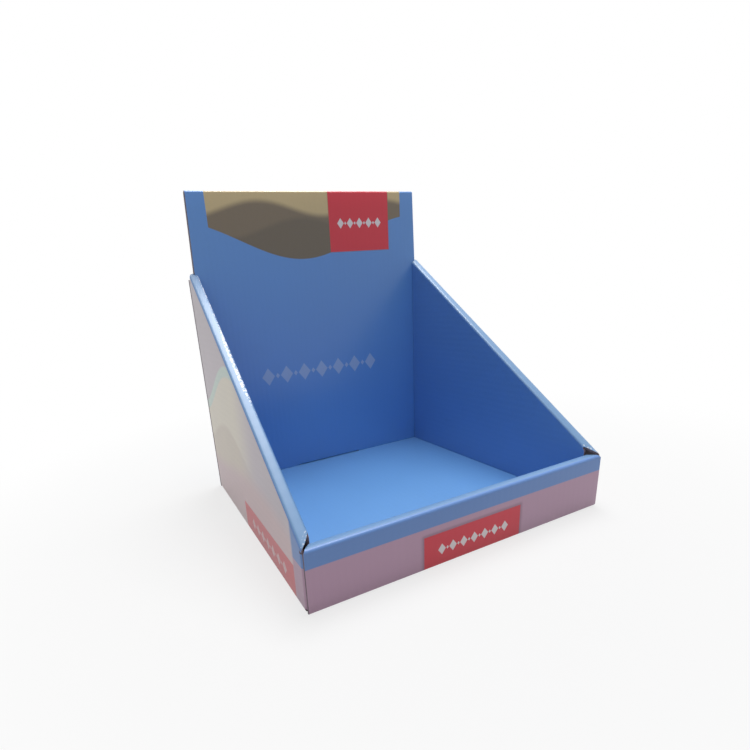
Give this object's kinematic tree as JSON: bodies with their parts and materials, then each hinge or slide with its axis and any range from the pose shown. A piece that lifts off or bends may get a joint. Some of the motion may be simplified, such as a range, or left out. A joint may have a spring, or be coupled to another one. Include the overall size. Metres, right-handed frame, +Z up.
{
  "type": "counter display box",
  "caption": "Open-fronted counter display box folded from a sheet of printed corrugated board, with rolled-over rims, sloping sides and a tall folded header.",
  "frame": {"origin": "middle of the base's underside, on the surface that the box stands on", "axes": "+Z up; +X along the front, to the right as seen from the front; the low front wall faces -Y and the header stands at +Y"},
  "size_m": [0.3, 0.264, 0.329],
  "materials": {
    "printed_board": "gloss laminated print"
  },
  "bodies": {
    "root": {"folded_box": "printed_board"}
  },
  "joints": []
}
